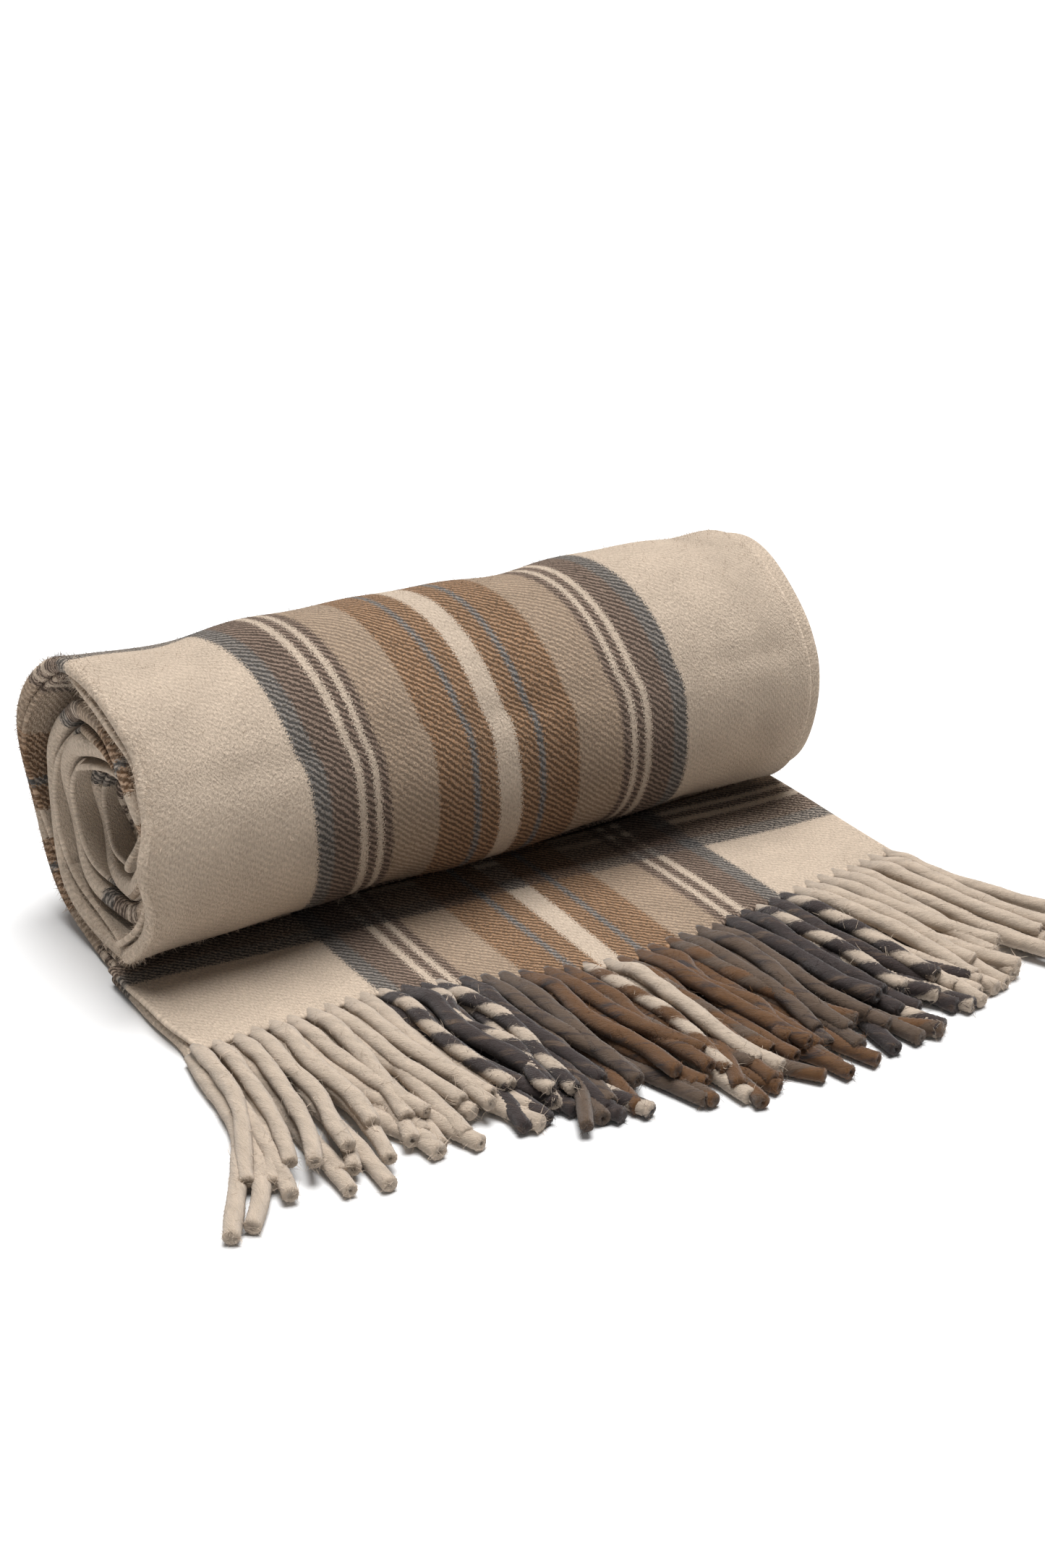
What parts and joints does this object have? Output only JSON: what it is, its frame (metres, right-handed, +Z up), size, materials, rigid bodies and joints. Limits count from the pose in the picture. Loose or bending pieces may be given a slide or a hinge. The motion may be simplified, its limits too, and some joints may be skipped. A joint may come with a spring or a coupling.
{
  "type": "throw blanket",
  "caption": "Striped wool throw folded in thirds and rolled up, with a flat tail whose twisted fringe lifts in groups.",
  "frame": {"origin": "on the floor under the middle of the footprint", "axes": "+X along the roll to its narrower end, -Y towards the fringe, +Z up"},
  "size_m": [0.5059, 0.3846, 0.1719],
  "materials": {
    "plaid_cloth": "brushed wool twill",
    "cream_tassels": "twisted brushed wool",
    "charcoal_tassels": "twisted brushed wool",
    "taupe_tassels": "twisted brushed wool",
    "brown_tassels": "twisted brushed wool"
  },
  "bodies": {
    "roll": {"rolled_bottom_third": "plaid_cloth", "rolled_middle_third": "plaid_cloth", "rolled_top_third": "plaid_cloth", "rolled_left_fold": "plaid_cloth", "rolled_right_fold": "plaid_cloth", "core_fringe": "cream_tassels"},
    "tail": {"tail_bottom_third": "plaid_cloth", "tail_middle_third": "plaid_cloth", "tail_top_third": "plaid_cloth", "tail_left_fold": "plaid_cloth", "tail_right_fold": "plaid_cloth"},
    "cream_left_fringe": {"cream_tassel_01": "cream_tassels", "cream_tassel_02": "cream_tassels", "cream_tassel_03": "cream_tassels", "cream_tassel_04": "cream_tassels", "cream_tassel_05": "cream_tassels", "cream_tassel_06": "cream_tassels", "cream_tassel_07": "cream_tassels", "cream_tassel_08": "cream_tassels", "cream_tassel_09": "cream_tassels", "cream_tassel_10": "cream_tassels", "under_fringe_cream_left": "cream_tassels"},
    "charcoal_left_fringe": {"charcoal_tassel_11": "charcoal_tassels", "charcoal_tassel_12": "charcoal_tassels", "charcoal_tassel_13": "charcoal_tassels", "charcoal_tassel_14": "charcoal_tassels", "charcoal_tassel_15": "charcoal_tassels", "under_fringe_charcoal_left": "charcoal_tassels"},
    "brown_left_fringe": {"taupe_tassel_16": "taupe_tassels", "taupe_tassel_17": "taupe_tassels", "brown_tassel_18": "brown_tassels", "brown_tassel_19": "brown_tassels", "brown_tassel_20": "brown_tassels", "brown_tassel_21": "brown_tassels", "cream_tassel_22": "cream_tassels", "under_fringe_brown_left": "brown_tassels"},
    "brown_right_fringe": {"brown_tassel_23": "brown_tassels", "brown_tassel_24": "brown_tassels", "brown_tassel_25": "brown_tassels", "brown_tassel_26": "brown_tassels", "taupe_tassel_27": "taupe_tassels", "taupe_tassel_28": "taupe_tassels", "taupe_tassel_29": "taupe_tassels", "under_fringe_brown_right": "brown_tassels"},
    "charcoal_right_fringe": {"charcoal_tassel_30": "charcoal_tassels", "charcoal_tassel_31": "charcoal_tassels", "charcoal_tassel_32": "charcoal_tassels", "charcoal_tassel_33": "charcoal_tassels", "charcoal_tassel_34": "charcoal_tassels", "under_fringe_charcoal_right": "charcoal_tassels"},
    "cream_right_fringe": {"cream_tassel_35": "cream_tassels", "cream_tassel_36": "cream_tassels", "cream_tassel_37": "cream_tassels", "cream_tassel_38": "cream_tassels", "cream_tassel_39": "cream_tassels", "cream_tassel_40": "cream_tassels", "cream_tassel_41": "cream_tassels", "cream_tassel_42": "cream_tassels", "under_fringe_cream_right": "cream_tassels"}
  },
  "joints": [
    {"name": "tail_lift", "type": "hinge", "parent": "roll", "child": "tail", "pos_m": [0, 0.0708, 0.0057], "axis": [-1, 0, 0], "range_deg": [0, 38]},
    {"name": "cream_left_fringe_lift", "type": "hinge", "parent": "tail", "child": "cream_left_fringe", "pos_m": [-0.16481, -0.01001, 0.0097], "axis": [-0.9986, 0.0523, 0], "range_deg": [0, 65]},
    {"name": "charcoal_left_fringe_lift", "type": "hinge", "parent": "tail", "child": "charcoal_left_fringe", "pos_m": [-0.08726, -0.01407, 0.0097], "axis": [-0.9986, 0.0523, 0], "range_deg": [0, 65]},
    {"name": "brown_left_fringe_lift", "type": "hinge", "parent": "tail", "child": "brown_left_fringe", "pos_m": [-0.02522, -0.03162, 0.0097], "axis": [-0.9986, 0.0523, 0], "range_deg": [0, 65]},
    {"name": "brown_right_fringe_lift", "type": "hinge", "parent": "tail", "child": "brown_right_fringe", "pos_m": [0.04665, -0.04682, 0.0097], "axis": [-0.9986, 0.0523, 0], "range_deg": [0, 65]},
    {"name": "charcoal_right_fringe_lift", "type": "hinge", "parent": "tail", "child": "charcoal_right_fringe", "pos_m": [0.1085, -0.04036, 0.0097], "axis": [-0.9986, 0.0523, 0], "range_deg": [0, 65]},
    {"name": "cream_right_fringe_lift", "type": "hinge", "parent": "tail", "child": "cream_right_fringe", "pos_m": [0.17561, -0.03056, 0.0097], "axis": [-0.9986, 0.0523, 0], "range_deg": [0, 65]}
  ]
}
